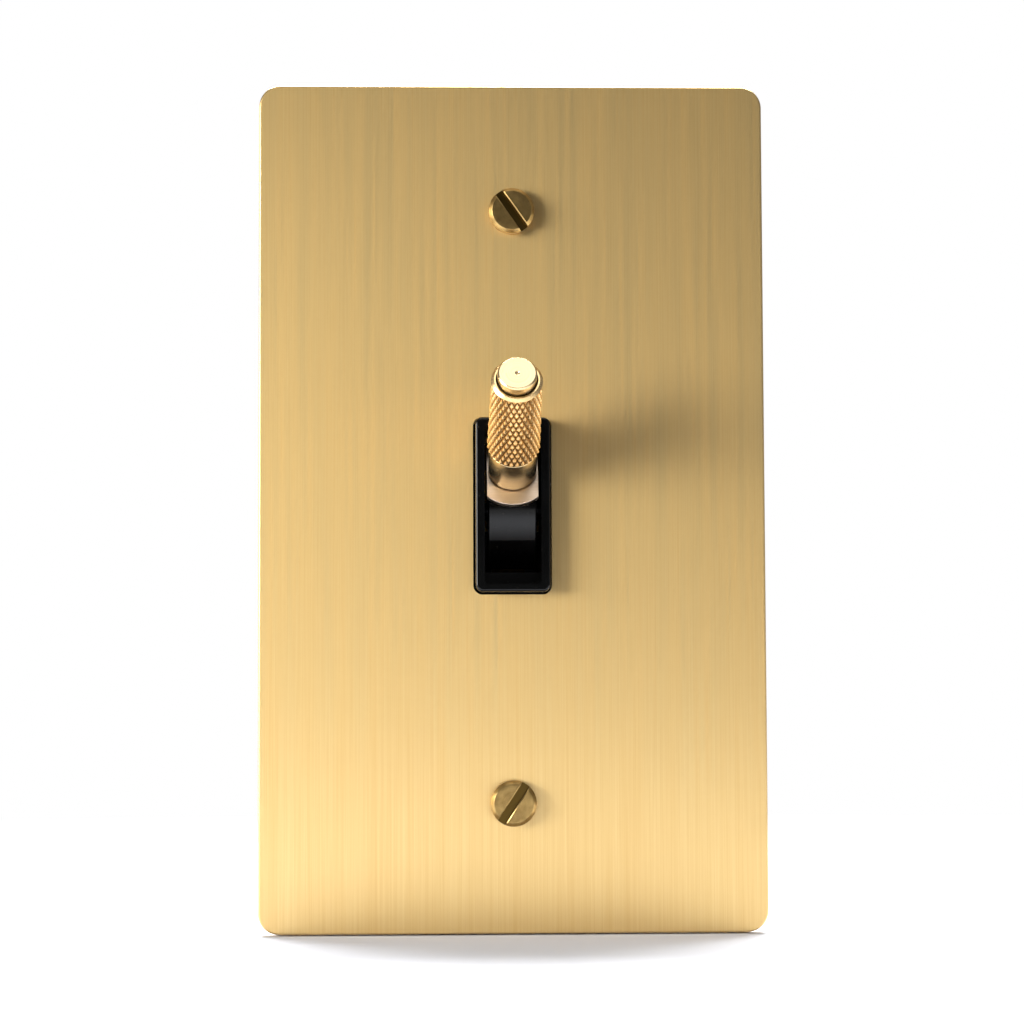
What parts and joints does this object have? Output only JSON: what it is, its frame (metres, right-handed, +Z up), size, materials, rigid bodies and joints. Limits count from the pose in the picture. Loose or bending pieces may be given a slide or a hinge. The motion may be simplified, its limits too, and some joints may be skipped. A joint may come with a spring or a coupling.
{
  "type": "toggle wall switch",
  "caption": "Single-gang wall switch: solid brushed brass plate, knurled brass toggle lever in a black collar, snap-action body on a steel strap behind.",
  "frame": {"origin": "centre of the plate's back face, which lies against the wall", "axes": "+Z up along the plate's long side, +Y into the wall, +X to the right seen from the room"},
  "size_m": [0.0712, 0.0538, 0.1194],
  "materials": {
    "plate_brass": "satin, brushed up and down, lacquered",
    "aged_brass": "turned and darkened",
    "strip_brass": "plain rolled strip",
    "turned_brass": "turned, knurled and lightly polished",
    "pale_brass": "pale, finely brushed across",
    "black_plastic": "moulded, glossy",
    "housing_plastic": "moulded, matt",
    "zinc_steel": "zinc plated",
    "spring_steel": "drawn wire",
    "silver_alloy": "bright silver alloy",
    "acetal": "natural moulded",
    "green_steel": "green dyed zinc"
  },
  "bodies": {
    "base": {"wall_plate": "plate_brass", "plate_screw_upper": "aged_brass", "plate_screw_lower": "aged_brass", "plate_stud_upper": "strip_brass", "plate_stud_lower": "strip_brass", "stud_washer_upper": "spring_steel", "stud_washer_lower": "spring_steel", "stud_nut_upper": "zinc_steel", "stud_nut_lower": "zinc_steel", "mounting_strap": "zinc_steel", "front_housing": "black_plastic", "rear_housing": "housing_plastic", "housing_rivet_upper_left": "zinc_steel", "housing_rivet_upper_right": "zinc_steel", "housing_rivet_lower_left": "zinc_steel", "housing_rivet_lower_right": "zinc_steel", "pivot_pin": "spring_steel", "fixed_contact": "silver_alloy", "load_terminal": "strip_brass", "line_terminal": "strip_brass", "load_clamp_plate": "zinc_steel", "line_clamp_plate": "zinc_steel", "load_terminal_screw": "strip_brass", "line_terminal_screw": "strip_brass", "ground_screw": "green_steel", "ground_washer": "zinc_steel"},
    "toggle": {"toggle_rocker": "black_plastic", "lever_flange": "pale_brass", "lever_stud": "zinc_steel", "lever_stem": "turned_brass", "knurled_grip": "turned_brass", "plunger_spring": "spring_steel"},
    "plunger": {"contact_plunger": "acetal"},
    "seesaw": {"contact_seesaw": "strip_brass", "moving_contact": "silver_alloy"}
  },
  "joints": [
    {"name": "toggle_tilt", "type": "hinge", "parent": "base", "child": "toggle", "pos_m": [0, 0.006, 0], "axis": [1, 0, 0], "range_deg": [0, 56]},
    {"name": "plunger_slide", "type": "slide", "parent": "toggle", "child": "plunger", "axis": [0, -0.8829, 0.4695], "range_m": [0, 0.0008], "stiffness_N_per_m": 400, "springref_m": -0.002, "deforming": ["plunger_spring"]},
    {"name": "seesaw_tilt", "type": "hinge", "parent": "base", "child": "seesaw", "pos_m": [0, 0.0197, 0], "axis": [1, 0, 0], "range_deg": [-10, 0]}
  ],
  "couplings": [
    {"joint": "seesaw_tilt", "follows": "toggle_tilt", "ratio": -0.17857}
  ]
}
